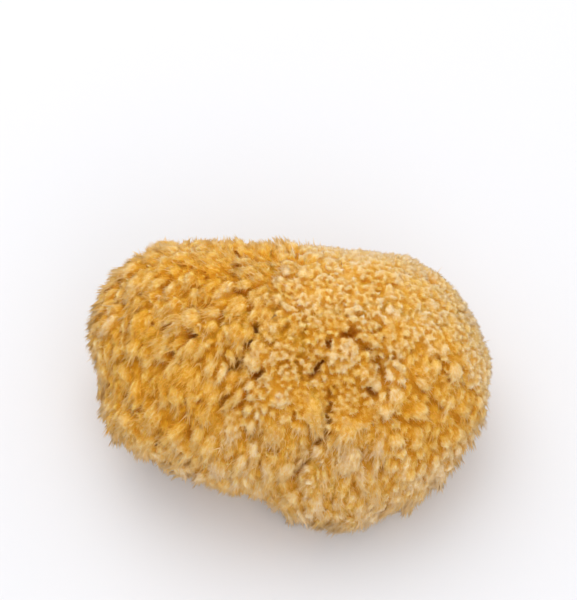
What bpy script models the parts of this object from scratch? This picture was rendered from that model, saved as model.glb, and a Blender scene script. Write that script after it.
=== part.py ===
"""Sea sponge: one grown piece, a lumpy domed body cut off flat underneath.

Metres, +Z up. The origin is the bottom centre of the body's bounding box,
so the flat cut face lies on z = 0. +X is the long way of the body, and its
full, domed face leans towards -Y.

The solid is the outer envelope of the body, out to the tips of its tufts.
"""
import math

import bmesh
import bpy
import numpy as np
from mathutils import Matrix, Vector

# ---------------------------------------------------------------- dimensions
MM = 0.001

# The body grew round a crown axis that leans forward (towards -Y) from the
# vertical. CROWN_ELEVATION is that axis's height above the horizon.
CROWN_ELEVATION = math.radians(62.0)

# Outline of the body seen along the crown axis: its radius in mm every 15
# degrees, counter-clockwise from +X. Widest 154 mm, top to bottom 113 mm.
OUTLINE_MM = (
    78.4, 77.6, 73.4, 68.2, 59.4, 54.2,      # right end to upper right
    53.4, 56.2, 63.0, 75.2, 79.6, 80.6,      # top edge to upper left
    72.4, 71.0, 60.2, 52.2, 48.6, 47.6,      # left end and slanted underside
    53.0, 58.6, 62.8, 65.8, 72.4, 74.6,      # lower lobe to lower right
)
FRONT_DEPTH_MM = 48.0       # from the outline's plane to the top of the dome
BACK_DEPTH_MM = 47.0        # the other way, before the base is cut off
CENTRE_HEIGHT_MM = 33.0     # the outline's centre above the cut base
ROUNDNESS = 2.18            # superellipse power of the body's profile

# Broad relief, in mm.
LOBE_MM, LOBE_SIZE_MM = 3.0, 24.0
LUMP_MM, LUMP_SIZE_MM = 2.0, 12.5

# The valley between the two lower lobes: points (right, up) in mm in the
# outline's plane, and the depth there.
VALLEY = ((16.0, -2.0, 2.2), (13.0, -12.0, 4.0), (7.0, -28.0, 6.0),
          (1.0, -42.0, 5.5), (-4.0, -50.0, 2.0))
VALLEY_WIDTH_MM = 5.5

# Outlets (oscula): place (right, up), length, width and depth in mm, and the
# turn of the long way from +X in degrees.
OSCULA = (
    (-36.0, 19.0, 5.6, 4.4, 8.0, 55.0),
    (-13.0, 19.5, 8.0, 3.6, 7.5, 60.0),
    (-11.5, 3.5, 4.4, 3.6, 7.0, 20.0),
    (10.5, 5.5, 8.4, 3.4, 8.0, 52.0),
    (22.5, 19.0, 7.0, 5.4, 9.0, 15.0),
    (14.5, 14.5, 4.4, 3.4, 7.0, 90.0),
    (31.0, -3.0, 5.0, 3.6, 7.0, 120.0),
    (-40.0, -7.0, 5.0, 3.4, 7.0, 40.0),
)

CAGE_SUBDIVISIONS = 4       # icosphere cage, 642 points
SKIN_LEVELS = 1             # subdivision of the cage

# ------------------------------------------------------------------ geometry
UP = np.array((0.0, math.sin(CROWN_ELEVATION), math.cos(CROWN_ELEVATION)))
CROWN = np.array((0.0, -math.cos(CROWN_ELEVATION), math.sin(CROWN_ELEVATION)))


def lattice(ix, iy, iz, seed):
    """A repeatable value in -1..1 for each lattice corner."""
    h = (ix.astype(np.uint32) * np.uint32(0x8DA6B343)
         ^ iy.astype(np.uint32) * np.uint32(0xD8163841)
         ^ iz.astype(np.uint32) * np.uint32(0xCB1AB31F)
         ^ np.uint32((seed * 0x9E3779B1) & 0xFFFFFFFF))
    h ^= h >> np.uint32(15)
    h *= np.uint32(0x2C1B3C6D)
    h ^= h >> np.uint32(12)
    h *= np.uint32(0x297A2D39)
    h ^= h >> np.uint32(15)
    return h.astype(np.float64) / 2147483647.5 - 1.0


def gradient_noise(p, seed):
    """Smooth noise in about -1..1 at the rows of p."""
    base = np.floor(p).astype(np.int64)
    f = p - base
    s = f * f * f * (f * (f * 6.0 - 15.0) + 10.0)
    total = np.zeros(len(p))
    for cx in (0, 1):
        for cy in (0, 1):
            for cz in (0, 1):
                ix, iy, iz = base[:, 0] + cx, base[:, 1] + cy, base[:, 2] + cz
                dot = (lattice(ix, iy, iz, seed) * (f[:, 0] - cx)
                       + lattice(ix, iy, iz, seed + 101) * (f[:, 1] - cy)
                       + lattice(ix, iy, iz, seed + 211) * (f[:, 2] - cz))
                weight = (np.where(cx, s[:, 0], 1 - s[:, 0])
                          * np.where(cy, s[:, 1], 1 - s[:, 1])
                          * np.where(cz, s[:, 2], 1 - s[:, 2]))
                total += dot * weight
    return total * 1.5


def outline_radius(theta):
    """Outline radius in mm at each angle, a closed Catmull-Rom curve."""
    n = len(OUTLINE_MM)
    table = np.array(OUTLINE_MM)
    t = (theta / (2.0 * math.pi) % 1.0) * n
    i = np.floor(t).astype(int)
    f = t - i
    p0, p1 = table[(i - 1) % n], table[i % n]
    p2, p3 = table[(i + 1) % n], table[(i + 2) % n]
    return p1 + 0.5 * f * (p2 - p0 + f * (2 * p0 - 5 * p1 + 4 * p2 - p3
                                          + f * (3 * (p1 - p2) + p3 - p0)))


def valley_depth(a, b, w):
    """Depth of the valley in mm at a place in the crown's frame."""
    best = np.full(len(a), 1e9)
    depth = np.zeros(len(a))
    for (a0, b0, d0), (a1, b1, d1) in zip(VALLEY, VALLEY[1:]):
        ea, eb = a1 - a0, b1 - b0
        t = np.clip(((a - a0) * ea + (b - b0) * eb) / (ea * ea + eb * eb), 0, 1)
        dist = np.hypot(a - a0 - ea * t, b - b0 - eb * t)
        near = dist < best
        best = np.where(near, dist, best)
        depth = np.where(near, d0 + (d1 - d0) * t, depth)
    on_front = 1.0 / (1.0 + np.exp(-(w + 4.0) / 3.0))
    return depth * np.exp(-(best / VALLEY_WIDTH_MM) ** 2) * on_front


def envelope(directions):
    """Distance in mm from the outline's centre to the surface."""
    a, b, w = directions[:, 0], directions @ UP, directions @ CROWN
    flat = np.hypot(a, b)
    radius = outline_radius(np.arctan2(b, a))
    depth = np.where(w > 0, FRONT_DEPTH_MM, BACK_DEPTH_MM)
    r = ((flat / radius) ** ROUNDNESS
         + (np.abs(w) / depth) ** ROUNDNESS) ** (-1.0 / ROUNDNESS)
    p = directions * r[:, None]
    calm = 0.3 + 0.7 * np.abs(w)
    r = r + calm * (LOBE_MM * gradient_noise(p / LOBE_SIZE_MM + 7.3, 11)
                    + LUMP_MM * gradient_noise(p / LUMP_SIZE_MM + 2.1, 29))
    return r - valley_depth(a * r, b * r, w * r)


def surface_point(a_mm, b_mm):
    """Point of the front face at a place (right, up), and its outward way."""
    w = FRONT_DEPTH_MM
    for _ in range(12):
        ray = np.array((a_mm, 0.0, 0.0)) + b_mm * UP + w * CROWN
        length = float(np.linalg.norm(ray))
        reach = float(envelope((ray / length)[None, :])[0])
        w = max(4.0, w * reach / length)
    point = np.array((a_mm, 0.0, 0.0)) + b_mm * UP + w * CROWN
    return Vector(point) * MM, Vector(point).normalized()


# --------------------------------------------------------------------- build
for ob in list(bpy.data.objects):
    bpy.data.objects.remove(ob, do_unlink=True)

scene = bpy.context.scene
sponge_collection = bpy.data.collections.new("sea_sponge_parts")
cutter_collection = bpy.data.collections.new("cutters")
scene.collection.children.link(sponge_collection)
scene.collection.children.link(cutter_collection)


def new_object(name, bm, collection):
    mesh = bpy.data.meshes.new(name)
    bm.to_mesh(mesh)
    bm.free()
    ob = bpy.data.objects.new(name, mesh)
    collection.objects.link(ob)
    return ob


def as_cutter(ob):
    ob.hide_render = True
    ob.display_type = "WIRE"
    return ob


def subtract(target, cutter, name):
    mod = target.modifiers.new(name, "BOOLEAN")
    mod.operation = "DIFFERENCE"
    mod.solver = "EXACT"
    mod.object = cutter


# Spongin: a dry, fibrous golden skeleton.
spongin = bpy.data.materials.new("spongin")
spongin.use_nodes = True
shader = spongin.node_tree.nodes["Principled BSDF"]
shader.inputs["Base Color"].default_value = (0.60, 0.36, 0.12, 1.0)
shader.inputs["Roughness"].default_value = 0.92
shader.inputs["Metallic"].default_value = 0.0

# The coarse cage: an icosphere whose points are moved to the envelope.
bm = bmesh.new()
bmesh.ops.create_icosphere(bm, subdivisions=CAGE_SUBDIVISIONS, radius=1.0)
bm.verts.ensure_lookup_table()
ways = np.array([v.co[:] for v in bm.verts])
ways /= np.linalg.norm(ways, axis=1)[:, None]
centre = np.array((0.0, 0.0, CENTRE_HEIGHT_MM))
for vert, way, reach in zip(bm.verts, ways, envelope(ways)):
    vert.co = Vector((centre + way * reach) * MM)
bmesh.ops.recalc_face_normals(bm, faces=bm.faces)
sponge = new_object("sea_sponge", bm, sponge_collection)
sponge.data.materials.append(spongin)

skin = sponge.modifiers.new("skin", "SUBSURF")
skin.levels = skin.render_levels = SKIN_LEVELS

# Outlets: narrow egg-shaped hollows that lean in along the growth direction.
for number, (a, b, long_mm, wide_mm, deep_mm, turn) in enumerate(OSCULA, 1):
    point, outward = surface_point(a, b)
    bm = bmesh.new()
    bmesh.ops.create_uvsphere(bm, u_segments=10, v_segments=6, radius=1.0)
    across = (Vector((1, 0, 0)) - outward * outward.x).normalized()
    upward = outward.cross(across)
    spin = math.radians(turn)
    long_way = across * math.cos(spin) + upward * math.sin(spin)
    wide_way = outward.cross(long_way)
    frame = Matrix((long_way, wide_way, outward)).transposed().to_4x4()
    frame.translation = point + Vector((0, 0, CENTRE_HEIGHT_MM * MM))
    size = Matrix.Diagonal((long_mm / 2 * MM, wide_mm / 2 * MM,
                            deep_mm * MM, 1.0))
    bmesh.ops.transform(bm, matrix=frame @ size, verts=bm.verts)
    cutter = as_cutter(new_object("osculum_cutter_%d" % number, bm,
                                  cutter_collection))
    subtract(sponge, cutter, "osculum_%d" % number)

# The flat cut where the body was taken off its rock.
bm = bmesh.new()
bmesh.ops.create_cube(bm, size=1.0)
bmesh.ops.scale(bm, vec=(0.30, 0.30, 0.08), verts=bm.verts)
bmesh.ops.translate(bm, vec=(0.0, 0.0, -0.04), verts=bm.verts)
base_cutter = as_cutter(new_object("base_cutter", bm, cutter_collection))
subtract(sponge, base_cutter, "flat_base")

# Everything shifts so that the origin is the bottom centre of the body's box.
depsgraph = bpy.context.evaluated_depsgraph_get()
cut_mesh = sponge.evaluated_get(depsgraph).to_mesh()
corners = np.array([v.co[:] for v in cut_mesh.vertices])
middle = (corners.min(axis=0) + corners.max(axis=0)) / 2.0
sponge.evaluated_get(depsgraph).to_mesh_clear()
for ob in [sponge] + list(cutter_collection.objects):
    ob.data.transform(Matrix.Translation((-middle[0], -middle[1], 0.0)))

sponge.data.shade_smooth()
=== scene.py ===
import math

import bpy
import numpy as np
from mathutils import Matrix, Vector, kdtree


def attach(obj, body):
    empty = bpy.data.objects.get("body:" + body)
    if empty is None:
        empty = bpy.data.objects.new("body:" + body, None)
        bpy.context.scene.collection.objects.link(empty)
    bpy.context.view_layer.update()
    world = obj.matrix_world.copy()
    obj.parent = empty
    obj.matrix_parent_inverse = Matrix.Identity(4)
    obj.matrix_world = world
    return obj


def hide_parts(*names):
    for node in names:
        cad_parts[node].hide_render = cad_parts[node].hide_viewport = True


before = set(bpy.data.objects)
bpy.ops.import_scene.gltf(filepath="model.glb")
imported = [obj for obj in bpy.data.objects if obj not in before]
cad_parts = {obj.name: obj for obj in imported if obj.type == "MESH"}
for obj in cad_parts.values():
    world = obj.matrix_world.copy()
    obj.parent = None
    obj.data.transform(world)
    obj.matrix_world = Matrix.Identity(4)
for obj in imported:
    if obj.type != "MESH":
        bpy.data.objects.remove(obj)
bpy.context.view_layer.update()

# Lengths in this file are in mm until a mesh is made.
MM = 0.001

# ------------------------------------------------------------ body's envelope
# The same envelope as the CAD solid's: the outline seen along the crown axis,
# a rounded profile, broad lobes and the valley between the lower lobes.
CROWN_ELEVATION = math.radians(62.0)
OUTLINE_MM = (
    78.4, 77.6, 73.4, 68.2, 59.4, 54.2,
    53.4, 56.2, 63.0, 75.2, 79.6, 80.6,
    72.4, 71.0, 60.2, 52.2, 48.6, 47.6,
    53.0, 58.6, 62.8, 65.8, 72.4, 74.6,
)
FRONT_DEPTH_MM = 48.0
BACK_DEPTH_MM = 47.0
ROUNDNESS = 2.18
LOBE_MM, LOBE_SIZE_MM = 3.0, 24.0
LUMP_MM, LUMP_SIZE_MM = 2.0, 12.5
VALLEY = ((16.0, -2.0, 2.2), (13.0, -12.0, 4.0), (7.0, -28.0, 6.0),
          (1.0, -42.0, 5.5), (-4.0, -50.0, 2.0))
VALLEY_WIDTH_MM = 5.5
CENTRE = np.array((-0.523, 0.535, 33.0))

RIGHT = np.array((1.0, 0.0, 0.0))
UP = np.array((0.0, math.sin(CROWN_ELEVATION), math.cos(CROWN_ELEVATION)))
CROWN = np.array((0.0, -math.cos(CROWN_ELEVATION), math.sin(CROWN_ELEVATION)))
APEX = CENTRE + 8.0 * RIGHT + 30.0 * UP + 41.0 * CROWN


def lattice(ix, iy, iz, seed):
    h = (ix.astype(np.uint32) * np.uint32(0x8DA6B343)
         ^ iy.astype(np.uint32) * np.uint32(0xD8163841)
         ^ iz.astype(np.uint32) * np.uint32(0xCB1AB31F)
         ^ np.uint32((seed * 0x9E3779B1) & 0xFFFFFFFF))
    h ^= h >> np.uint32(15)
    h *= np.uint32(0x2C1B3C6D)
    h ^= h >> np.uint32(12)
    h *= np.uint32(0x297A2D39)
    h ^= h >> np.uint32(15)
    return h.astype(np.float64) / 2147483647.5 - 1.0


def gradient_noise(p, seed):
    base = np.floor(p).astype(np.int64)
    f = p - base
    s = f * f * f * (f * (f * 6.0 - 15.0) + 10.0)
    total = np.zeros(len(p))
    for cx in (0, 1):
        for cy in (0, 1):
            for cz in (0, 1):
                ix, iy, iz = base[:, 0] + cx, base[:, 1] + cy, base[:, 2] + cz
                dot = (lattice(ix, iy, iz, seed) * (f[:, 0] - cx)
                       + lattice(ix, iy, iz, seed + 101) * (f[:, 1] - cy)
                       + lattice(ix, iy, iz, seed + 211) * (f[:, 2] - cz))
                weight = (np.where(cx, s[:, 0], 1 - s[:, 0])
                          * np.where(cy, s[:, 1], 1 - s[:, 1])
                          * np.where(cz, s[:, 2], 1 - s[:, 2]))
                total += dot * weight
    return total * 1.5


def cells(p, seed):
    """Distances to the nearest and second nearest point of a jittered grid."""
    base = np.floor(p).astype(np.int64)
    f1 = np.full(len(p), 9.0)
    f2 = np.full(len(p), 9.0)
    for cx in (-1, 0, 1):
        for cy in (-1, 0, 1):
            for cz in (-1, 0, 1):
                ix, iy, iz = base[:, 0] + cx, base[:, 1] + cy, base[:, 2] + cz
                d = ((ix + 0.5 + 0.42 * lattice(ix, iy, iz, seed) - p[:, 0]) ** 2
                     + (iy + 0.5 + 0.42 * lattice(ix, iy, iz, seed + 7) - p[:, 1]) ** 2
                     + (iz + 0.5 + 0.42 * lattice(ix, iy, iz, seed + 13) - p[:, 2]) ** 2)
                d = np.sqrt(d)
                f2 = np.minimum(f2, np.maximum(f1, d))
                f1 = np.minimum(f1, d)
    return f1, f2


def smooth(lo, hi, x):
    t = np.clip((x - lo) / (hi - lo), 0.0, 1.0)
    return t * t * (3.0 - 2.0 * t)


def unit(v):
    return v / np.maximum(np.linalg.norm(v, axis=-1, keepdims=True), 1e-9)


def outline_radius(theta):
    n = len(OUTLINE_MM)
    table = np.array(OUTLINE_MM)
    t = (theta / (2.0 * math.pi) % 1.0) * n
    i = np.floor(t).astype(int)
    f = t - i
    p0, p1 = table[(i - 1) % n], table[i % n]
    p2, p3 = table[(i + 1) % n], table[(i + 2) % n]
    return p1 + 0.5 * f * (p2 - p0 + f * (2 * p0 - 5 * p1 + 4 * p2 - p3
                                          + f * (3 * (p1 - p2) + p3 - p0)))


def track(points, a, b):
    """Distance to a bent line and how far along it, 0 to 1, in the outline's
    plane, with the line's own third value there."""
    best = np.full(len(a), 1e9)
    value = np.zeros(len(a))
    for (a0, b0, d0), (a1, b1, d1) in zip(points, points[1:]):
        ea, eb = a1 - a0, b1 - b0
        t = np.clip(((a - a0) * ea + (b - b0) * eb) / (ea * ea + eb * eb), 0, 1)
        dist = np.hypot(a - a0 - ea * t, b - b0 - eb * t)
        near = dist < best
        best = np.where(near, dist, best)
        value = np.where(near, d0 + (d1 - d0) * t, value)
    return best, value


def envelope(directions):
    a, b, w = directions[:, 0], directions @ UP, directions @ CROWN
    flat = np.hypot(a, b)
    radius = outline_radius(np.arctan2(b, a))
    depth = np.where(w > 0, FRONT_DEPTH_MM, BACK_DEPTH_MM)
    r = ((flat / radius) ** ROUNDNESS
         + (np.abs(w) / depth) ** ROUNDNESS) ** (-1.0 / ROUNDNESS)
    p = directions * r[:, None]
    calm = 0.3 + 0.7 * np.abs(w)
    r = r + calm * (LOBE_MM * gradient_noise(p / LOBE_SIZE_MM + 7.3, 11)
                    + LUMP_MM * gradient_noise(p / LUMP_SIZE_MM + 2.1, 29))
    near, deep = track(VALLEY, a * r, b * r)
    on_front = 1.0 / (1.0 + np.exp(-(w * r + 4.0) / 3.0))
    return r - deep * np.exp(-(near / VALLEY_WIDTH_MM) ** 2) * on_front


# ------------------------------------------------------------ cleft and outlet
# Outlets: place (right, up), half length, half width, depth, turn in degrees.
OUTLETS = (
    (-36.0, 19.0, 3.0, 2.2, 8.0, 55.0),
    (-13.5, 18.0, 4.6, 1.7, 7.0, 62.0),
    (-11.5, 3.5, 2.2, 1.7, 6.0, 20.0),
    (10.5, 5.5, 4.6, 1.7, 8.0, 55.0),
    (22.5, 19.0, 3.6, 2.6, 9.0, 15.0),
    (14.5, 14.5, 2.2, 1.6, 6.0, 90.0),
    (31.0, -3.0, 2.6, 1.7, 6.0, 120.0),
    (-40.0, -7.0, 2.6, 1.6, 6.0, 40.0),
)
# More outlets, over the back and top: turn and rise of the way to each, in
# degrees, half its width and its depth.
BACK_OUTLETS = (
    (112.0, 22.0, 2.6, 8.0),
    (66.0, 6.0, 2.2, 7.0),
    (86.0, 44.0, 1.9, 6.0),
    (148.0, 4.0, 2.0, 6.0),
    (28.0, 26.0, 2.3, 7.0),
)
CLEFTS = (
    (((-36.0, 19.0, 3.0), (-44.0, 11.0, 2.5), (-51.0, 2.5, 1.5)), 1.2),
    (((15.4, -2.7, 3.5), (14.2, -13.5, 4.0), (10.0, -22.0, 3.0)), 1.2),
    (((24.0, 17.0, 3.0), (33.0, 9.0, 3.0), (37.0, -2.0, 1.5)), 1.2),
    (((-16.5, 13.0, 3.0), (-22.0, 2.0, 3.0), (-24.0, -8.0, 1.5)), 1.2),
)


def hollows(a, b, w):
    """How deep the clefts and outlets go at each place, and how open they are."""
    deep = np.zeros(len(a))
    open_ = np.zeros(len(a))
    front = smooth(-6.0, 8.0, w)
    for ca, cb, half_long, half_wide, depth, turn in OUTLETS:
        s, c = math.sin(math.radians(turn)), math.cos(math.radians(turn))
        u = ((a - ca) * c + (b - cb) * s) / half_long
        v = (-(a - ca) * s + (b - cb) * c) / half_wide
        d = np.hypot(u, v)
        deep = np.maximum(deep, depth * (1 - smooth(0.5, 1.5, d)) * front)
        open_ = np.maximum(open_, (1 - smooth(0.9, 1.25, d)) * front)
    p = np.outer(a, RIGHT) + np.outer(b, UP) + np.outer(w, CROWN)
    for turn, rise, half, depth in BACK_OUTLETS:
        t, s = math.radians(turn), math.radians(rise)
        to = np.array([[math.cos(t) * math.cos(s), math.sin(t) * math.cos(s), math.sin(s)]])
        d = np.linalg.norm(p - to * envelope(to)[:, None], axis=1) / (half + 3.0)
        deep = np.maximum(deep, depth * (1 - smooth(0.5, 1.2, d)))
        open_ = np.maximum(open_, 1 - smooth(0.9, 1.1, d))
    for points, half in CLEFTS:
        d, depth = track(points, a, b)
        deep = np.maximum(deep, depth * (1 - smooth(0.4, 2.2, d / half)) * front)
        open_ = np.maximum(open_, (1 - smooth(0.6, 1.0, d / half)) * front)
    return deep, open_


# -------------------------------------------------------------------- regions
def crown_frame(p):
    q = p - CENTRE
    return q[:, 0], q @ UP, q @ CROWN


def regions(p):
    """Weights of the left locks, the lower locks, the broken middle, the flaps
    low on the right, and the short nap of the top, right end and back."""
    a, b, w = crown_frame(p)
    wob = 5.0 * gradient_noise(p / 18.0 + 3.7, 51)
    front = smooth(-20.0, -2.0, w)
    locks = (1 - smooth(-26.0, -8.0, a + wob - 0.35 * (b + 5.0))) * front
    flaps = (1 - smooth(0.7, 1.15, np.hypot((a - 53.0 + wob * 0.5) / 22.0,
                                            (b + 16.0 + wob * 0.5) / 30.0)))
    flaps = flaps * smooth(-14.0, 0.0, w) * (1 - locks)
    low = (1 - smooth(-22.0, -8.0, b + wob)) * front * (1 - locks) * (1 - flaps)
    middle = (1 - smooth(0.75, 1.25, np.hypot((a - 14.0) / 36.0,
                                             (b + wob * 0.6 + 1.0) / 27.0)))
    middle = middle * front * (1 - locks) * (1 - low) * (1 - flaps)
    flaps = flaps + 0.7 * smooth(0.0, 0.4, gradient_noise(p / 24.0 + 1.9, 57)) * (1 - front)
    nap = np.clip(1 - locks - low - middle - flaps, 0, 1)
    return locks, low, middle, flaps, nap


def flow_at(p, n):
    """The way the tufts lie: out from the top and combed down the front."""
    out = p - APEX
    out[:, 2] = 0.0
    reach = np.linalg.norm(out, axis=1, keepdims=True)
    out = out / np.maximum(reach, 8.0)
    a, b, w = crown_frame(p)
    ahead = smooth(-16.0, 4.0, w) * (1 - smooth(38.0, 50.0, b))
    lean = np.clip(-0.25 + 0.0066 * a, -0.75, 0.35)
    comb = ahead[:, None] * (-UP + lean[:, None] * RIGHT)
    down = np.outer(1 - 0.7 * ahead, np.array((0.0, 0.0, -0.7)))
    swirl = np.stack([gradient_noise(p / 13.0 + k * 9.1, 61 + k) for k in range(3)], 1)
    g = out * 0.30 + 1.3 * comb + down + 0.55 * swirl
    return unit(g - n * (g * n).sum(1, keepdims=True))


# ----------------------------------------------------------------- inner body
BODY_CELLS = 110


def ball_grid(n):
    """A ball of six square grids: ways from its middle, and quads."""
    i, j = np.meshgrid(np.arange(n + 1), np.arange(n + 1), indexing="ij")
    keys, quads = [], []
    specs = ((0, 1, 1, 2), (0, -1, 2, 1), (1, 1, 2, 0),
             (1, -1, 0, 2), (2, 1, 0, 1), (2, -1, 1, 0))
    start = 0
    for axis, sign, iu, iv in specs:
        c = np.zeros((n + 1, n + 1, 3), dtype=np.int64)
        c[..., axis] = n if sign > 0 else 0
        c[..., iu], c[..., iv] = i, j
        keys.append(((c[..., 0] * (n + 1) + c[..., 1]) * (n + 1) + c[..., 2]).ravel())
        at = np.arange((n + 1) ** 2).reshape(n + 1, n + 1) + start
        quads.append(np.stack([at[:-1, :-1], at[1:, :-1], at[1:, 1:], at[:-1, 1:]],
                              -1).reshape(-1, 4))
        start += (n + 1) ** 2
    keys = np.concatenate(keys)
    found, inverse = np.unique(keys, return_inverse=True)
    c = np.stack([found // (n + 1) ** 2, found // (n + 1) % (n + 1), found % (n + 1)], 1)
    way = unit(np.tan((c / n * 2.0 - 1.0) * math.pi / 4.0))
    return way, inverse.reshape(-1)[np.concatenate(quads)]


def point_normals(p, faces):
    """Normals at the points of a mesh of quads or of triangles."""
    last = 3 if faces.shape[1] == 4 else 0
    n = np.cross(p[faces[:, 2]] - p[faces[:, 0]], p[faces[:, last]] - p[faces[:, 1]])
    total = np.stack([np.bincount(faces.ravel(), np.repeat(n[:, k], faces.shape[1]), len(p))
                      for k in range(3)], 1)
    return unit(total)


def thrown(p, spacing, seed, most=80000):
    """Rows of p, in random order, that keep their own spacing apart."""
    rng = np.random.default_rng(seed)
    order = rng.permutation(len(p))[:most]
    cell = float(spacing.max())
    home = np.floor(p / cell).astype(int)
    grid, kept = {}, []
    px, sp = p.tolist(), spacing.tolist()
    for i in order.tolist():
        x, y, z = px[i]
        hx, hy, hz = home[i].tolist()
        clear = True
        for ox in (-1, 0, 1):
            for oy in (-1, 0, 1):
                for oz in (-1, 0, 1):
                    for j in grid.get((hx + ox, hy + oy, hz + oz), ()):
                        q = px[j]
                        s = min(sp[i], sp[j])
                        if ((x - q[0]) ** 2 + (y - q[1]) ** 2 + (z - q[2]) ** 2) < s * s:
                            clear = False
                            break
                    if not clear:
                        break
                if not clear:
                    break
            if not clear:
                break
        if clear:
            grid.setdefault((hx, hy, hz), []).append(i)
            kept.append(i)
    return np.array(kept)


# Each row: values for the left locks, the lower locks, the broken middle, the
# flaps low on the right, and the short nap of the top, right end and back.
def by_region(p, *values):
    return np.stack(regions(p), 1) @ np.array(values)


way, quads = ball_grid(BODY_CELLS)
reach = envelope(way)
skin = CENTRE + way * reach[:, None]
inset = by_region(skin, 4.4, 4.5, 3.9, 4.4, 3.1)
inner = CENTRE + way * (reach - inset)[:, None]
height = inner[:, 2].copy()
below = height < 0
stop = np.where(below, CENTRE[2] / np.maximum(-way[:, 2], 1e-6), 1e9)
floor_point = CENTRE + way * stop[:, None]
smooth_body = np.where(below[:, None], floor_point, inner)
normal = point_normals(smooth_body, quads)
flow = flow_at(smooth_body, normal)

# Locks: groups of tufts that lie together. Each has a place, a way and a size.
side_rows = np.flatnonzero((smooth_body[:, 2] > 1.5) & ~below)
lock_gap = by_region(smooth_body[side_rows], 11.5, 11.5, 7.5, 11.5, 7.5)
lock_rows = side_rows[thrown(smooth_body[side_rows], lock_gap, 5)]
lock_at, lock_n, lock_f = smooth_body[lock_rows], normal[lock_rows], flow[lock_rows]
lock_rng = np.random.default_rng(17)
lock_turn = lock_rng.normal(0, 0.30, len(lock_at))
lock_f = unit(lock_f * np.cos(lock_turn)[:, None]
              + np.cross(lock_n, lock_f) * np.sin(lock_turn)[:, None])
lock_lift = lock_rng.uniform(-1.0, 1.0, len(lock_at))
lock_tone = lock_rng.uniform(-1.0, 1.0, len(lock_at))
lock_wide = by_region(lock_at, 5.4, 5.6, 4.2, 5.6, 4.0)
lock_long = by_region(lock_at, 9.5, 9.0, 4.6, 6.4, 4.4)
lock_cut = by_region(lock_at, 2.4, 2.6, 1.8, 2.6, 1.5)


def lock_of(p):
    """Each point's lock, and how far it is from the border to the next one."""
    owner = np.zeros(len(p), dtype=int)
    border = np.zeros(len(p))
    for lo in range(0, len(p), 4000):
        q = p[lo:lo + 4000]
        d = q[:, None, :] - lock_at[None, :, :]
        along = np.einsum("ijk,jk->ij", d, lock_f)
        across = np.sqrt(np.maximum((d * d).sum(2) - along ** 2, 0.0))
        m = np.hypot(across / lock_wide, (along - 0.25 * lock_long) / lock_long)
        two = np.argpartition(m, 1, axis=1)[:, :2]
        rows = np.arange(len(q))
        m0, m1 = m[rows, two[:, 0]], m[rows, two[:, 1]]
        owner[lo:lo + 4000] = np.where(m0 <= m1, two[:, 0], two[:, 1])
        border[lo:lo + 4000] = np.abs(m1 - m0)
    return owner, border


owner, border = lock_of(smooth_body)
deep, open_ = hollows(*crown_frame(smooth_body))
rough = (0.6 * gradient_noise(smooth_body / 3.4, 91)
         + 0.3 * gradient_noise(smooth_body / 1.7, 93))
relief = (-lock_cut[owner] * (1 - smooth(0.0, 0.42, border)) + 0.7 * lock_lift[owner]
          + rough - deep)

# The cut base: flat, with the open ends of the canals.
flat = np.column_stack([smooth_body[:, :2], np.zeros(len(way))])
pores = (5.0 * (1 - smooth(0.20, 0.36, cells(flat / 5.2 + 0.3, 41)[0]))
         + 1.6 * (1 - smooth(0.24, 0.42, cells(flat / 2.6 + 0.7, 43)[0]))
         + 8.0 * (1 - smooth(0.15, 0.24, cells(flat / 13.0 + 0.1, 47)[0])))
base_z = pores * smooth(0.0, 3.0, np.where(below, -height, 0.0))
body = np.where(below[:, None], floor_point, smooth_body + normal * relief[:, None])
body[:, 2] = np.where(below, base_z, np.maximum(body[:, 2], 0.0))

# ---------------------------------------------------------------------- tufts
# A tuft is a plume: a soft core, and round it a brush of blunt fingers that
# leave it at different heights. Between the tufts the body is set with stubs.
SIDES = 6
RING_AT = np.array((0.0, 0.38, 0.72, 0.92))
RING_SIZE = np.array((0.80, 1.0, 0.82, 0.50))
RINGS = len(RING_AT)


def finger_faces():
    faces = []
    for k in range(RINGS - 1):
        for s in range(SIDES):
            t = (s + 1) % SIDES
            a, b, c, d = k * SIDES + s, k * SIDES + t, (k + 1) * SIDES + t, (k + 1) * SIDES + s
            faces += [(a, b, c), (a, c, d)]
    k, tip = (RINGS - 1) * SIDES, RINGS * SIDES
    faces += [(k + s, k + (s + 1) % SIDES, tip) for s in range(SIDES)]
    faces += [(0, s + 1, s) for s in range(1, SIDES - 1)]
    return np.array(faces)


FINGER_FACES = finger_faces()


def fingers(root, mid, tip, wide_way, wide, thin, rng, size=RING_SIZE):
    """Closed, bent, blunt fingers, from root over mid to tip."""
    n = len(root)
    t = RING_AT[None, :, None]
    line = (1 - t) ** 2 * root[:, None] + 2 * t * (1 - t) * mid[:, None] + t ** 2 * tip[:, None]
    tangent = unit(2 * (1 - t) * (mid - root)[:, None] + 2 * t * (tip - mid)[:, None])
    e1 = unit(wide_way[:, None] - tangent * (wide_way[:, None] * tangent).sum(-1, keepdims=True))
    e2 = np.cross(tangent, e1)
    ang = 2 * math.pi * np.arange(SIDES)[None, None] / SIDES + rng.uniform(0, 6.28, (n, 1, 1))
    ring = size[None, :, None] * (1.0 + rng.uniform(-0.16, 0.16, (n, RINGS, SIDES)))
    x = (np.cos(ang) * ring * wide[:, None, None])[..., None]
    y = (np.sin(ang) * ring * thin[:, None, None])[..., None]
    points = line[:, :, None, :] + x * e1[:, :, None, :] + y * e2[:, :, None, :]
    points = np.concatenate([points.reshape(n, -1, 3), tip[:, None]], 1)
    points[..., 2] = np.maximum(points[..., 2], 0.0)
    faces = FINGER_FACES[None] + (RINGS * SIDES + 1) * np.arange(n)[:, None, None]
    return points.reshape(-1, 3), faces.reshape(-1, 3)


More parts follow.
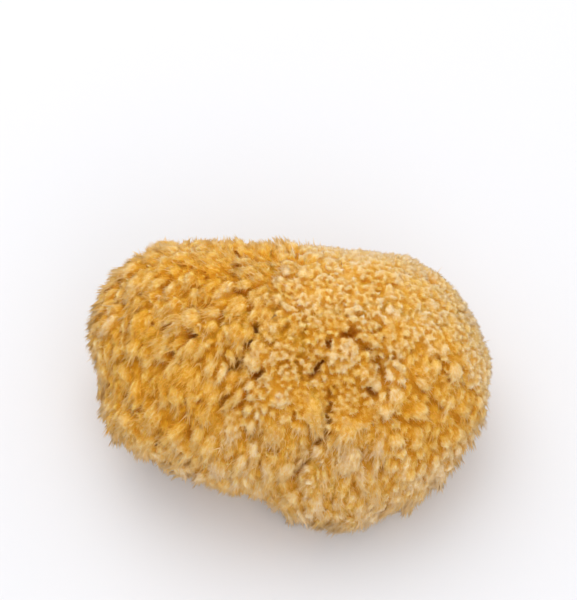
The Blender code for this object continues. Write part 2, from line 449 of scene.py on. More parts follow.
def held_in(p, slack):
    """Points moved back inside the envelope, where they stand out by more than slack."""
    out = p - CENTRE
    far = np.linalg.norm(out, axis=1)
    out = out / far[:, None]
    return p - out * np.maximum(far - envelope(out) - slack, 0.0)[:, None]


t_rng = np.random.default_rng(23)
rows = np.flatnonzero((smooth_body[:, 2] > 0.6) & ~below & (open_ < 0.5))
grade = np.clip(np.exp(t_rng.normal(0.0, 0.32, len(rows))), 0.62, 1.9)
gap = by_region(smooth_body[rows], 5.0, 5.6, 2.35, 5.0, 2.8) * grade
kept = thrown(smooth_body[rows], gap, 7)
grade, rows = grade[kept], rows[kept]
n_t = len(rows)
t_at, t_n, t_f, t_relief = smooth_body[rows], normal[rows], flow[rows], relief[rows]
t_owner, t_border = lock_of(t_at)
lf = lock_f[t_owner]
lf = unit(lf - t_n * (lf * t_n).sum(1, keepdims=True))
t_f = unit(0.5 * t_f + 0.5 * lf)
t_side = np.cross(t_n, t_f)

length = by_region(t_at, 10.5, 12.5, 4.6, 8.0, 4.0) * t_rng.uniform(0.78, 1.18, n_t)
length *= grade ** 0.6 * (1.0 + 0.08 * lock_lift[t_owner])
in_valley = 1 - smooth(2.0, 7.5, track(VALLEY, *crown_frame(t_at)[:2])[0])
length *= 1 - 0.45 * in_valley * smooth(-5.0, 5.0, crown_frame(t_at)[2])
tilt = np.radians(by_region(t_at, 63.0, 66.0, 28.0, 54.0, 36.0) + t_rng.normal(0, 11.0, n_t))
sway = t_rng.normal(0, 0.26, n_t)
leaning = t_f * np.cos(sway)[:, None] + t_side * np.sin(sway)[:, None]
heading = unit(t_n * np.cos(tilt)[:, None] + leaning * np.sin(tilt)[:, None])
rooted = t_at + t_n * (t_relief - 0.8)[:, None]
tip = t_at + t_n * t_relief[:, None] + heading * length[:, None]
clump = by_region(t_at, 0.24, 0.26, 0.24, 0.30, 0.12)
axis_off = tip - (lock_at[t_owner] + lock_n[t_owner] * 3.0)
across = axis_off - lock_f[t_owner] * (axis_off * lock_f[t_owner]).sum(1, keepdims=True)
across = across - t_n * (across * t_n).sum(1, keepdims=True)
loose = by_region(t_at, 1.3, 1.3, 0.5, 1.0, 0.35)
loose = loose * (1 - 0.8 * smooth(-5.0, 15.0, crown_frame(t_at)[1]))
stray = np.where(t_rng.uniform(0, 1, n_t) < 0.55, t_rng.uniform(0.2, 2.6, n_t), 0.0)
slack = (by_region(t_at, -3.0, -4.6, -1.0, -3.2, -1.2) + 0.6 * t_rng.normal(0, 1, n_t)
         + 1.5 * loose * stray)
tip = held_in(tip - across * clump[:, None], np.clip(slack, -5.4, 3.6))

main = unit(tip - rooted)
turn = t_rng.normal(0, 0.5, n_t)
e_side = unit(np.cross(t_n, main) + 1e-6)
e_out = np.cross(main, e_side)
e_side, e_out = (e_side * np.cos(turn)[:, None] + e_out * np.sin(turn)[:, None],
                 e_out * np.cos(turn)[:, None] - e_side * np.sin(turn)[:, None])
whole = np.linalg.norm(tip - rooted, axis=1)
spread = by_region(t_at, 2.6, 3.1, 1.30, 2.9, 1.5) * grade
flatness = t_rng.uniform(0.5, 0.9, n_t)

# Great plumes, which stand out of the rest: root (right, up), length and half width.
GREAT = (
    (-57.0, 18.0, 13.0, 2.9),
    (-49.0, -10.0, 14.0, 4.2),
    (8.0, -4.0, 20.0, 3.9),
    (-5.0, -14.0, 12.0, 3.3),
    (-26.0, -26.0, 13.0, 4.1),
    (24.0, -13.0, 17.0, 4.4),
)
ta, tb, tw = crown_frame(t_at)
great = np.zeros(n_t)
for ga, gb, g_long, g_wide in GREAT:
    i = np.argmin(np.hypot(ta - ga, tb - gb) + 99.0 * (tw < 5.0))
    g_way = unit(0.35 * t_n[i] + 0.94 * t_f[i])
    g_from = t_at[i] + t_n[i] * t_relief[i]
    g_tip = held_in((g_from + g_way * g_long)[None], np.array([-1.2]))[0]
    along = np.clip(((t_at - g_from) @ g_way) / g_long, 0.0, 1.0)
    under_it = 1 - smooth(0.7 * g_wide, 1.5 * g_wide, np.linalg.norm(
        t_at - g_from - along[:, None] * g_way * g_long, axis=1) - 3.0)
    under_it[i] = 0.0
    tip = tip - (tip - rooted) * (0.34 * under_it)[:, None]
    tip[i], spread[i], flatness[i], great[i], slack[i] = g_tip, g_wide, 0.62, 1.0, -1.2
main = unit(tip - rooted)
whole = np.linalg.norm(tip - rooted, axis=1)

# Cores.
arch = np.where(great > 0, 0.12, 0.40)
thick = np.where(great > 0, 0.55, 0.80) * spread
c_tip = rooted + main * (0.72 * whole)[:, None]
c_mid = (rooted + t_n * (arch * whole)[:, None]
         + main * (np.where(great > 0, 0.34, 0.20) * whole)[:, None])
core = fingers(rooted, c_mid, c_tip, e_side, thick, thick * flatness, t_rng,
               np.array((0.55, 0.82, 1.0, 0.72)))

# Fingers.
count = by_region(t_at, 36.0, 44.0, 11.0, 36.0, 12.0) * grade + t_rng.uniform(-1.2, 1.2, n_t)
count = np.where(great > 0, 22.0 * spread, count)
count = np.clip(np.round(count), 5, 96).astype(int)
parent = np.repeat(np.arange(n_t), count)
n_f = len(parent)
f_rng = np.random.default_rng(31)
order = np.arange(n_f) - np.repeat(np.cumsum(count) - count, count)
angle = order * 2.39996 + f_rng.uniform(0, 6.28, n_t)[parent]
fill = np.sqrt((order + 0.4) / count[parent])
out = spread[parent] * fill * f_rng.uniform(0.85, 1.25, n_f)
off = (e_side[parent] * np.cos(angle)[:, None]
       + e_out[parent] * (flatness[parent] * np.sin(angle))[:, None])

# The fingers of a tuft draw together in a few bunches, each with its own reach.
BUNCHES = 6
b_angle = (2 * math.pi * np.arange(BUNCHES)[None] / (BUNCHES - 1)
           + f_rng.uniform(0, 6.28, (n_t, 1)) + f_rng.normal(0, 0.28, (n_t, BUNCHES)))
b_out = f_rng.uniform(0.55, 0.95, (n_t, BUNCHES)) * spread[:, None]
b_out[:, -1] = 0.0
b_xy = np.stack([b_out * np.cos(b_angle), b_out * np.sin(b_angle)], 2)
f_xy = np.stack([out * np.cos(angle), out * np.sin(angle)], 1)
bunch = ((f_xy[:, None] - b_xy[parent]) ** 2).sum(2).argmin(1)
draw = by_region(t_at, 0.10, 0.18, 0.0, 0.18, 0.0)[parent]
to_bunch = (b_xy[parent, bunch] - f_xy) * draw[:, None]
drawn = (e_side[parent] * to_bunch[:, :1]
         + e_out[parent] * (flatness[parent][:, None] * to_bunch[:, 1:]))
b_reach = f_rng.uniform(-0.20, 0.10, (n_t, BUNCHES))[parent, bunch] * np.minimum(1.6 * draw, 1.0)
f_len = whole[parent] * (1.06 - 0.38 * fill ** 2 + b_reach) * f_rng.uniform(0.72, 1.08, n_f)
f_root = rooted[parent] + off * (0.30 * out)[:, None]
fan = np.where(great > 0, 1.15, by_region(t_at, 0.8, 0.65, 1.0, 0.9, 1.0))[parent]
f_tip = held_in(rooted[parent] + main[parent] * f_len[:, None] + off * (fan * out)[:, None] + drawn
                + f_rng.normal(0, 0.30, (n_f, 3)),
                np.clip(slack[parent] + f_rng.normal(0.5, 0.5, n_f), -5.0, 4.5))
f_mid = (rooted[parent] + t_n[parent] * (f_len * arch[parent])[:, None]
         + main[parent] * (f_len * 0.26)[:, None] + off * (0.85 * out)[:, None])
f_wide = by_region(t_at, 0.42, 0.43, 0.35, 0.44, 0.38)[parent] * f_rng.uniform(0.75, 1.3, n_f)
brush = fingers(f_root, f_mid, f_tip, e_side[parent], f_wide,
                f_wide * f_rng.uniform(0.65, 0.95, n_f), f_rng)

# Stubs.
s_rng = np.random.default_rng(37)
s_rows = np.flatnonzero((smooth_body[:, 2] > 0.4) & ~below)
s_rows = s_rows[thrown(smooth_body[s_rows], np.full(len(s_rows), 1.8), 9)]
n_s = len(s_rows)
s_at, s_n = smooth_body[s_rows], normal[s_rows]
s_base = s_at + s_n * (relief[s_rows] - 1.0)[:, None]
s_way = unit(s_n + 0.5 * flow[s_rows] + s_rng.normal(0, 0.35, (n_s, 3)))
s_len = s_rng.uniform(2.2, 4.6, n_s)
s_tip = held_in(s_base + s_way * s_len[:, None], -0.5)
s_wide = s_rng.uniform(0.45, 0.85, n_s)
stubs = fingers(s_base, 0.5 * (s_base + s_tip), s_tip, unit(np.cross(s_way, UP) + 1e-6),
                s_wide, s_wide * 0.9, s_rng)

# --------------------------------------------------------- one grown-together skin
def reshaped(points, faces, kind, **settings):
    """The points and faces of a mesh after one modifier."""
    size = faces.shape[1]
    me = bpy.data.meshes.new("shapes")
    me.vertices.add(len(points))
    me.vertices.foreach_set("co", points.astype(np.float32).ravel())
    me.loops.add(faces.size)
    me.loops.foreach_set("vertex_index", faces.astype(np.int32).ravel())
    me.polygons.add(len(faces))
    me.polygons.foreach_set("loop_start", np.arange(0, faces.size, size, dtype=np.int32))
    me.update(calc_edges=True)
    ob = bpy.data.objects.new("shapes", me)
    bpy.context.scene.collection.objects.link(ob)
    mod = ob.modifiers.new("shape", kind)
    for key, value in settings.items():
        setattr(mod, key, value)
    bpy.context.view_layer.update()
    made = ob.evaluated_get(bpy.context.evaluated_depsgraph_get()).to_mesh()
    p = np.empty(len(made.vertices) * 3, dtype=np.float32)
    made.vertices.foreach_get("co", p)
    f = np.empty(len(made.loops), dtype=np.int32)
    made.loops.foreach_get("vertex_index", f)
    sides = len(f) // len(made.polygons)
    if len(f) != sides * len(made.polygons):
        raise RuntimeError("the faces aren't all of one size")
    bpy.data.objects.remove(ob)
    bpy.data.meshes.remove(me)
    return p.reshape(-1, 3).astype(np.float64), f.reshape(-1, sides).astype(np.int64)


def skinned(groups, voxel):
    """The one skin round closed shapes that run into each other: points and quads."""
    start = np.cumsum([0] + [len(p) for p, f in groups])
    return reshaped(np.concatenate([p for p, f in groups]),
                    np.concatenate([f + s for (p, f), s in zip(groups, start)]),
                    "REMESH", mode="VOXEL", voxel_size=voxel, adaptivity=0.0)


def largest(points, faces):
    """Only the biggest joined part of a mesh, in case a crumb came loose."""
    a = faces.ravel()
    b = np.roll(faces, -1, axis=1).ravel()
    label = np.arange(len(points))
    while True:
        low = np.minimum(label[a], label[b])
        new = label.copy()
        np.minimum.at(new, a, low)
        np.minimum.at(new, b, low)
        new = new[new]
        new = new[new]
        if (new == label).all():
            break
        label = new
    ids, counts = np.unique(label, return_counts=True)
    keep = label == ids[counts.argmax()]
    number = np.cumsum(keep) - 1
    return points[keep], number[faces[keep[faces[:, 0]]]]


body_tris = np.concatenate([quads[:, (0, 1, 2)], quads[:, (0, 2, 3)]])
VOXEL_MM = 0.47
sk, sq = skinned([(body, body_tris), core, brush, stubs], VOXEL_MM)
sk, sq = largest(sk, sq)


class Net:
    """A mesh's edges, for evening values out along them."""

    def __init__(self, faces, count):
        after = np.roll(faces, -1, axis=1).ravel()
        self.a = np.concatenate([faces.ravel(), after])
        self.b = np.concatenate([after, faces.ravel()])
        self.count = count
        self.degree = np.bincount(self.a, minlength=count).astype(float)

    def even(self, x, times):
        for _ in range(times):
            x = np.stack([np.bincount(self.a, x[self.b, k], self.count)
                          for k in range(x.shape[1])], 1) / self.degree[:, None]
        return x


sk = Net(sq, len(sk)).even(sk, 2)
sn = point_normals(sk, sq)

# Each skin point's finger, and its place in that tuft's own frame.
tree_at = np.concatenate([
    0.30 * f_root + 0.45 * f_mid + 0.25 * f_tip, 0.1 * f_root + 0.3 * f_mid + 0.6 * f_tip, f_tip])
tree = kdtree.KDTree(len(tree_at))
for i, p in enumerate(tree_at.tolist()):
    tree.insert(p, i)
tree.balance()
find = tree.find


def at_tuft(p):
    """Each point's tuft, and its place in that tuft's own frame."""
    near = np.array([find(q)[1] for q in p.tolist()]) % n_f
    tuft = parent[near]
    own = p - rooted[tuft]
    return (tuft,) + tuple((own * e[tuft]).sum(1) for e in (main, e_side, e_out))


tuft, lo_, la, lb = at_tuft(sk)

grain = np.stack([la / 0.85 + 3.1 * (tuft % 61), lb / 0.85 + 1.7 * (tuft % 37),
                  lo_ / by_region(sk, 3.2, 3.6, 1.5, 2.8, 1.7)], 1)
stria = gradient_noise(grain, 101)
granule = cells(sk / 1.3 + 4.0, 103)[0]
fine = gradient_noise(sk / 0.95, 107)
mild = by_region(sk, 0.4, 0.3, 1.0, 0.5, 0.8)
push = (0.34 * stria * (1.5 - mild) + 0.16 * mild * (0.5 - granule) + 0.22 * fine)
sk = sk + sn * push[:, None]

# Pits between the tufts are half grown over, but the outlets stay open.
mean_skin = Net(sq, len(sk)).even(sk, 50)
sink = -((sk - mean_skin) * sn).sum(1)
shut = 1 - hollows(*crown_frame(sk))[1]
shut = shut * np.where(sk[:, 2] > 1.0, 1.0, 0.0)
filled = (by_region(sk, 0.52, 0.52, 0.60, 0.54, 0.70) * smooth(0.1, 1.0, sink)
          + 0.28 * smooth(1.2, 2.2, sink))
sk = sk + (mean_skin - sk) * (filled * shut)[:, None]
sk[:, 2] = np.maximum(sk[:, 2], 0.0)

# Fewer faces where the skin is smooth.
SKIN_TRIANGLES = 540000
sk, sq = reshaped(sk, sq, "DECIMATE", decimate_type="COLLAPSE", use_collapse_triangulate=True,
                  ratio=min(1.0, SKIN_TRIANGLES / (2.0 * len(sq))))
sn = point_normals(sk, sq)
tuft, lo_, la, lb = at_tuft(sk)
tip_share = np.clip(lo_ / whole[tuft], 0.0, 1.1)
grain = np.stack([la / 0.85 + 3.1 * (tuft % 61), lb / 0.85 + 1.7 * (tuft % 37),
                  lo_ / by_region(sk, 3.2, 3.6, 1.5, 2.8, 1.7)], 1)
stria = gradient_noise(grain, 101)
fine = gradient_noise(sk / 0.95, 107)
net = Net(sq, len(sk))

# How far each point stands out of, or lies in, what is round it.
soft1 = net.even(sk, 7)
soft2 = net.even(soft1, 33)
stand1 = ((sk - soft1) * sn).sum(1)
wide_n = point_normals(soft2, sq)
stand2 = ((sk - soft2) * wide_n).sum(1)
shade_n = unit(0.4 * sn + 0.6 * wide_n)


def ranked(x):
    """The values' places in order, from 0 to 1."""
    r = np.empty(len(x))
    r[np.argsort(x, kind="stable")] = np.arange(len(x))
    return (r + 0.5) / len(x)


# Painted shade and highlight, with random mottle: the value is lower in hollows, in the furrows
# between locks, below the envelope and towards the tufts' roots, where shade falls, and higher
# where points stand out. At the rim it is raised as painted backlight, and it is also raised
# towards the bottom.
rel = sk - CENTRE
far = np.linalg.norm(rel, axis=1)
sunk = np.clip(envelope(rel / far[:, None]) - far, -1.0, 12.0)
furrow = 1 - smooth(0.0, 0.4, lock_of(t_at)[1])[tuft]
ra, rb = crown_frame(sk)[:2]
at_rim = smooth(0.80, 1.0, np.hypot(ra / 77.0, (rb + 1.0) / 56.0))
painted_shade_and_mottle = (by_region(sk, 0.38, 0.38, 0.43, 0.42, 0.36) * stand1 / 0.35
                + by_region(sk, 1.1, 1.1, 1.0, 1.0, 0.9) * stand2 / 1.1
                + by_region(sk, 1.1, 1.1, 0.9, 1.0, 0.8) * (tip_share - 0.6)
                - 0.16 * sunk + 0.35 * fine + 0.3 * stria + 0.45 * gradient_noise(sk / 15.0, 83)
                + 0.6 * gradient_noise(sk / 27.0, 85)
                - by_region(sk, 0.8, 0.7, 0.2, 0.6, 0.2) * furrow
                + by_region(sk, 0.05, 0.1, 0.62, 0.15, 0.85)
                + 0.45 * (1 - smooth(-34.0, -9.0, rb)) + 0.3 * at_rim + 0.05 * great[tuft])
painted_shade_and_mottle_rank = ranked(painted_shade_and_mottle)
# The tone of each place, between gold and straw: random, more straw towards the bottom, and more
# straw at the rim as painted backlight.
tone_and_rim_light_value = (0.55 * lock_tone[t_owner[tuft]] + 0.9 * gradient_noise(sk / 13.0, 77)
              + 0.5 * gradient_noise(sk / 4.0, 79) + 0.3 * t_rng.normal(0, 1, n_t)[tuft]
              + 0.2 * gradient_noise(sk / 1.2, 81) + by_region(sk, -0.1, 0.2, 0.1, 0.0, 0.6)
              + 0.6 * (1 - smooth(-31.0, -7.0, rb)) + 0.5 * at_rim + 0.15 * great[tuft])
tone_and_rim_light = ranked(tone_and_rim_light_value)


# --------------------------------------------------------------- mesh helpers
def patch(name, points, faces, maps, normals, grain, material):
    """One piece of the skin, with its map and the whole skin's normals."""
    used, inverse = np.unique(faces.ravel(), return_inverse=True)
    me = bpy.data.meshes.new(name)
    me.vertices.add(len(used))
    me.vertices.foreach_set("co", (points[used] * MM).astype(np.float32).ravel())
    me.loops.add(faces.size)
    me.loops.foreach_set("vertex_index", inverse.astype(np.int32).ravel())
    me.polygons.add(len(faces))
    me.polygons.foreach_set("loop_start", np.arange(0, faces.size, faces.shape[1], dtype=np.int32))
    me.update(calc_edges=True)
    layer = me.uv_layers.new(name="OFBake")
    layer.uv.foreach_set("vector", maps[faces.ravel()].astype(np.float32).ravel())
    layer.active_render = True
    me.attributes.new("grain", "FLOAT_VECTOR", "POINT").data.foreach_set(
        "vector", grain[used].astype(np.float32).ravel())
    me.shade_smooth()
    if normals is not None:
        me.normals_split_custom_set_from_vertices(normals[used].tolist())
    me.materials.append(material)
    ob = bpy.data.objects.new(name, me)
    bpy.context.scene.collection.objects.link(ob)
    return ob


# ------------------------------------------------------------------ materials
class Wiring:
    """Short ways to add and join shader nodes."""

    def __init__(self, tree):
        self.tree = tree

    def add(self, kind, **settings):
        node = self.tree.nodes.new(kind)
        for key, value in settings.items():
            setattr(node, key, value)
        return node

    def feed(self, socket, value):
        if isinstance(value, bpy.types.NodeSocket):
            self.tree.links.new(value, socket)
        else:
            socket.default_value = value

    def math(self, operation, a, b=0.0, clamp=False):
        n = self.add("ShaderNodeMath", operation=operation, use_clamp=clamp)
        self.feed(n.inputs[0], a)
        self.feed(n.inputs[1], b)
        return n.outputs[0]

    def mix(self, fac, a, b):
        n = self.add("ShaderNodeMix", data_type="RGBA")
        self.feed(n.inputs[0], fac)
        self.feed(n.inputs[6], a)
        self.feed(n.inputs[7], b)
        return n.outputs[2]

    def noise(self, vector, scale, detail=3.0, roughness=0.55):
        n = self.add("ShaderNodeTexNoise")
        self.feed(n.inputs["Vector"], vector)
        n.inputs["Scale"].default_value = scale
        n.inputs["Detail"].default_value = detail
        n.inputs["Roughness"].default_value = roughness
        return n.outputs["Fac"]

    def ramp(self, fac, stops):
        n = self.add("ShaderNodeValToRGB")
        ramp = n.color_ramp
        while len(ramp.elements) > 1:
            ramp.elements.remove(ramp.elements[-1])
        ramp.elements[0].position, ramp.elements[0].color = stops[0]
        for position, colour in stops[1:]:
            ramp.elements.new(position).color = colour
        self.feed(n.inputs["Fac"], fac)
        return n.outputs["Color"]


def srgb(r, g, b):
    def line(c):
        c /= 255.0
        return c / 12.92 if c <= 0.04045 else ((c + 0.055) / 1.055) ** 2.4
    return (line(r), line(g), line(b), 1.0)


def sponge_material(name, glow, painted_warm_shade=0.0):
    """Colour by the skin's own values, which its map holds: across for the place's hue
    between gold and straw, with painted rim light, and up for painted shade and
    highlight with mottle: darker in hollows, paler where the point stands out."""
    m = bpy.data.materials.new(name)
    m.use_nodes = True
    nt = m.node_tree
    p = nt.nodes["Principled BSDF"]
    p.inputs["Specular IOR Level"].default_value = 0.2
    p.inputs["Sheen Weight"].default_value = 0.15
    p.inputs["Sheen Roughness"].default_value = 0.6
    p.inputs["Sheen Tint"].default_value = (1.0, 0.80, 0.52, 1.0)
    p.inputs["Subsurface Weight"].default_value = 0.7 * glow
    p.inputs["Subsurface Radius"].default_value = (1.0, 0.85, 0.7)
    p.inputs["Subsurface Scale"].default_value = 0.004
    w = Wiring(nt)
    uv = w.add("ShaderNodeUVMap", uv_map="OFBake")
    sep = w.add("ShaderNodeSeparateXYZ")
    nt.links.new(uv.outputs[0], sep.inputs[0])
    tone_and_rim_light, painted_shade_and_mottle_v = sep.outputs[0], sep.outputs[1]
    mottle = w.noise(uv.outputs[0], 9.0, 3.0)
    grain = w.add("ShaderNodeAttribute", attribute_name="grain")
    streak = w.noise(grain.outputs["Vector"], 1.9, 2.5, 0.6)
    fac = w.math("ADD", painted_shade_and_mottle_v, w.math("MULTIPLY", w.math("SUBTRACT", tone_and_rim_light, 0.5), 0.20))
    fac = w.math("ADD", fac, w.math("MULTIPLY", w.math("SUBTRACT", mottle, 0.5), 0.25))
    fac = w.math("ADD", fac, w.math("MULTIPLY", w.math("SUBTRACT", streak, 0.5), 0.9 * glow))
    # The ramps' low ends are painted shade for the hollows and roots, and their high ends are
    # painted highlight for the points that stand out.
    gold = w.ramp(fac, (
        (0.00, srgb(216, 146, 12)),
        (0.15, srgb(222, 155, 27)),
        (0.42, srgb(228, 168, 58)),
        (0.72, srgb(236, 187, 94)),
        (1.00, srgb(239, 203, 144)),
    ))
    straw = w.ramp(fac, (
        (0.00, srgb(219, 153, 28)),
        (0.15, srgb(225, 164, 51)),
        (0.42, srgb(231, 178, 84)),
        (0.72, srgb(238, 197, 124)),
        (1.00, srgb(242, 210, 168)),
    ))
    colour = w.mix(tone_and_rim_light, gold, straw)
    # Painted warm shade: where the value is low, the colour turns a warmer orange, standing in for
    # light that passes through the sponge into its shade.
    if painted_warm_shade:
        share = w.math("MULTIPLY", w.math("SUBTRACT", 1.3, fac), painted_warm_shade, clamp=True)
        painted_warm_shade_colour = w.ramp(fac, ((0.0, srgb(247, 170, 36)), (0.5, srgb(248, 182, 80)),
                            (1.0, srgb(250, 195, 114))))
        colour = w.mix(share, colour, painted_warm_shade_colour)
    nt.links.new(colour, p.inputs["Base Color"])
    place = w.add("ShaderNodeTexCoord").outputs["Object"]
    fibre = w.noise(place, 1500.0, 3.0, 0.6)
    rough = w.math("ADD", 0.80, w.math("MULTIPLY", fibre, 0.18))
    nt.links.new(rough, p.inputs["Roughness"])
    bump = w.add("ShaderNodeBump")
    bump.inputs["Strength"].default_value = 0.6
    bump.inputs["Distance"].default_value = 0.0003
    nt.links.new(w.math("ADD", w.math("MULTIPLY", fibre, 0.35), w.math("MULTIPLY", streak, glow)),
                 bump.inputs["Height"])
    nt.links.new(bump.outputs[0], p.inputs["Normal"])
    return m


SPONGE = sponge_material("sponge", 1.0)
# The fuzz takes the painted warm shade.
FUZZ_LOOK = sponge_material("sponge_fuzz", 0.0, 0.7)
# Map values: across for the tone with painted rim light, up for the painted shade and highlight
# with mottle.
uv_values = np.stack([0.02 + 0.96 * tone_and_rim_light, 0.02 + 0.96 * painted_shade_and_mottle_rank], 1)

# The skin in patches, cut along the furrows between the locks.
PATCHES = 4
lock_way = np.arctan2(lock_at[:, 1] - CENTRE[1], lock_at[:, 0] - CENTRE[0])
face_lock = t_owner[tuft[sq[:, 0]]]
place_in_turn = ranked(lock_way)[face_lock]
ordered = np.argsort(place_in_turn, kind="stable")
bounds = [place_in_turn[ordered[int(len(ordered) * k / PATCHES)]] for k in range(1, PATCHES)]
which = np.searchsorted(bounds, place_in_turn, side="right")
pieces = []
for k in range(PATCHES):
    faces = sq[which == k]
    pieces.append(patch("sponge_%d" % (k + 1), sk, faces, uv_values, shade_n, grain, SPONGE))

# ----------------------------------------------------------------------- fuzz
def picked(weight, count, rng):
    total = np.cumsum(weight)
    return np.searchsorted(total, rng.uniform(0, total[-1], count))


def spikes(root, mid, tip, wide_way, wide, thin, at, size):
    """Closed three-sided spikes, from root over mid to a pointed tip."""
    n, rings = len(root), len(at)
    t = np.array(at)[None, :, None]
    line = (1 - t) ** 2 * root[:, None] + 2 * t * (1 - t) * mid[:, None] + t ** 2 * tip[:, None]
    tangent = unit(2 * (1 - t) * (mid - root)[:, None] + 2 * t * (tip - mid)[:, None])
    e1 = unit(wide_way[:, None] - tangent * (wide_way[:, None] * tangent).sum(-1, keepdims=True))
    e2 = np.cross(tangent, e1)
    ang = 2 * math.pi * np.arange(3)[None, None] / 3
    ring = np.array(size)[None, :, None]
    x = (np.cos(ang) * ring * wide[:, None, None])[..., None]
    y = (np.sin(ang) * ring * thin[:, None, None])[..., None]
    points = line[:, :, None, :] + x * e1[:, :, None, :] + y * e2[:, :, None, :]
    points = np.concatenate([points.reshape(n, -1, 3), tip[:, None]], 1)
    points[..., 2] = np.maximum(points[..., 2], 0.02)
    faces = [(0, 2, 1)]
    for k in range(rings - 1):
        for i in range(3):
            j = (i + 1) % 3
            a, b, c, d = 3 * k + i, 3 * k + j, 3 * k + 3 + j, 3 * k + 3 + i
            faces += [(a, b, c), (a, c, d)]
    faces += [(3 * rings - 3 + i, 3 * rings - 3 + (i + 1) % 3, 3 * rings) for i in range(3)]
    faces = np.array(faces)[None] + (3 * rings + 1) * np.arange(n)[:, None, None]
    return points.reshape(-1, 3), faces.reshape(-1, 3)


def spike_map(at, rise, foot, across):
    """The spikes' map values: lighter from root to tip."""
    up = np.concatenate([np.repeat(np.array(at), 3), (1.0,)])
    v = np.clip(foot[:, None] + rise * up[None], 0.0, 1.0)
    u = np.clip(across[:, None] + 0.012 * np.arange(len(up))[None] / len(up), 0.0, 1.0)
    return 0.02 + 0.94 * np.stack([u, v], -1).reshape(-1, 2)


z_rng = np.random.default_rng(43)
soil = (sk[:, 2] > 0.8) & (sn[:, 2] > -0.85)

# Fuzz: loose ends of fibres, that lie along their tuft and light like the skin.
FUZZ = 111000
FRAYS = 10000
FUZZ_PIECES = 3
z = picked(np.where(soil, 0.25 + painted_shade_and_mottle_rank * (0.5 + tip_share), 0.0)
           * by_region(sk, 1.0, 1.0, 1.25, 1.0, 1.0), FUZZ - FRAYS, z_rng)
# Some are frays, longer and thicker, at the ends of the long tufts.
frayed = picked(np.where(soil & (tip_share > 0.75), painted_shade_and_mottle_rank, 0.0)
                * by_region(sk, 1.0, 1.0, 0.1, 0.4, 0.0)
                * (1 - 0.9 * smooth(0.0, 14.0, crown_frame(sk)[2])), FRAYS, z_rng)
z = np.concatenate([z, frayed])
fray = np.arange(FUZZ) >= FUZZ - FRAYS
z_n, z_main = sn[z], main[tuft[z]]
z_lie = by_region(sk[z], 0.85, 1.0, 0.6, 0.8, 0.7) + fray
z_way = unit(z_lie[:, None] * z_main + 0.6 * z_n
             + (0.28 - 0.14 * fray)[:, None] * z_rng.normal(0, 1, (FUZZ, 3)))
z_way = unit(z_way + z_n * np.maximum(0.25 - (z_way * z_n).sum(1), 0.0)[:, None])
z_long = by_region(sk[z], 1.8, 2.2, 1.2, 1.6, 1.2) * z_rng.uniform(0.6, 1.3, FUZZ)
z_long = np.where(fray, z_rng.uniform(2.4, 4.8, FUZZ), z_long)
z_root = sk[z] - z_way * 0.2
z_tip = z_root + z_way * z_long[:, None]
z_wide = (z_rng.uniform(0.10, 0.20, FUZZ) * by_region(sk[z], 1.0, 1.0, 1.0, 0.9, 0.75)
          * np.where(fray, 1.9, 1.0))
fuzz_points, fuzz_faces = spikes(z_root, 0.5 * (z_root + z_tip), z_tip,
                                 np.cross(z_way, z_rng.normal(0, 1, (FUZZ, 3))), z_wide, z_wide,
                                 (0.0,), (1.0,))
# The fuzz takes the skin's painted shade and highlight at its root, lighter towards the tip, and
# the tone with painted rim light across.
fuzz_map = spike_map((0.0,), 0.22,
                     np.clip(painted_shade_and_mottle_rank[z] * 0.9 + z_rng.normal(0.04, 0.17, FUZZ), 0, 1), tone_and_rim_light[z])
fuzz_n = unit(0.7 * point_normals(fuzz_points, fuzz_faces) + np.repeat(shade_n[z], 4, axis=0))
for k in range(FUZZ_PIECES):
    share = fuzz_faces[len(fuzz_faces) * k // FUZZ_PIECES:len(fuzz_faces) * (k + 1) // FUZZ_PIECES]
    pieces.append(patch("sponge_fuzz_%d" % (k + 1), fuzz_points, share, fuzz_map, fuzz_n,
                        fuzz_points, FUZZ_LOOK))

for piece in pieces:
    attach(piece, "root")
    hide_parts("sea_sponge")

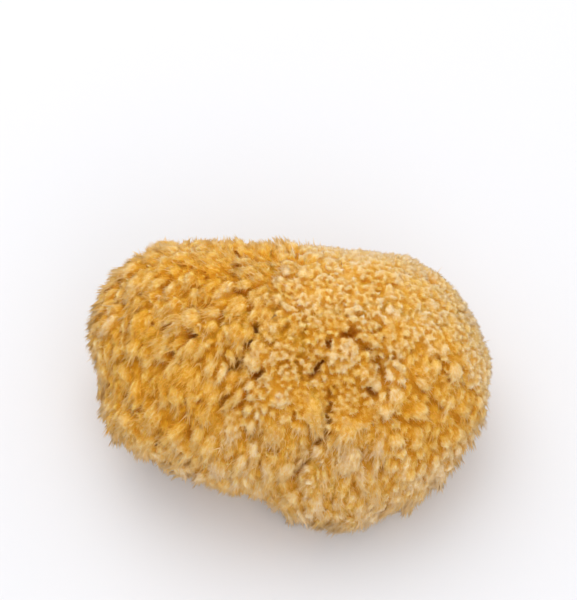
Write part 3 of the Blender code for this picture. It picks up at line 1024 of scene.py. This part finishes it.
# ---------------------------------------------------------------------- stage
def floor_material():
    m = bpy.data.materials.new("floor")
    m.use_nodes = True
    p = m.node_tree.nodes["Principled BSDF"]
    p.inputs["Base Color"].default_value = (0.80, 0.80, 0.82, 1.0)
    p.inputs["Roughness"].default_value = 0.6
    p.inputs["Specular IOR Level"].default_value = 0.2
    return m


bpy.ops.mesh.primitive_plane_add(size=6.0, location=(0, 0, 0))
floor = bpy.context.object
floor.name = "floor"
floor.data.materials.append(floor_material())

world = bpy.data.worlds.new("studio")
bpy.context.scene.world = world
world.use_nodes = True
world.node_tree.nodes["Background"].inputs["Color"].default_value = (0.97, 0.98, 1.0, 1.0)
world.node_tree.nodes["Background"].inputs["Strength"].default_value = 0.95


def area_light(name, at, target, size, power, colour):
    data = bpy.data.lights.new(name, "AREA")
    data.shape = "DISK"
    data.size = size
    data.energy = power
    data.color = colour
    ob = bpy.data.objects.new(name, data)
    bpy.context.scene.collection.objects.link(ob)
    ob.location = at
    ob.rotation_euler = (Vector(target) - Vector(at)).to_track_quat("-Z", "Y").to_euler()
    return ob


middle = Vector(CENTRE * MM)
area_light("key", (-0.20, 0.50, 1.05), middle, 1.1, 4.5, (1.0, 0.98, 0.95))
area_light("front_fill", (0.35, -0.95, 0.85), middle, 1.0, 2.4, (1.0, 0.985, 0.97))

# --------------------------------------------------------------------- camera
DISTANCE = 1.10
PX_PER_MM = 2.6
centre_v = Vector(CENTRE * MM)
crown_v, up_v = Vector(CROWN), Vector(UP)
camera_at = centre_v + crown_v * DISTANCE
aim = centre_v + up_v * (82.0 / PX_PER_MM * MM) + Vector((-0.5 / PX_PER_MM * MM, 0, 0))
gaze = aim - camera_at
camera_data = bpy.data.cameras.new("camera")
camera_data.sensor_width = 36.0
camera_data.lens = 36.0 * gaze.length / (600.0 / PX_PER_MM * MM)
camera_data.clip_start = 0.05
camera_data.clip_end = 20.0
camera = bpy.data.objects.new("camera", camera_data)
bpy.context.scene.collection.objects.link(camera)
camera.location = camera_at
camera.rotation_euler = gaze.to_track_quat("-Z", "Y").to_euler()
bpy.context.scene.camera = camera

bpy.context.scene.view_settings.view_transform = "Standard"
bpy.context.scene.view_settings.look = "None"
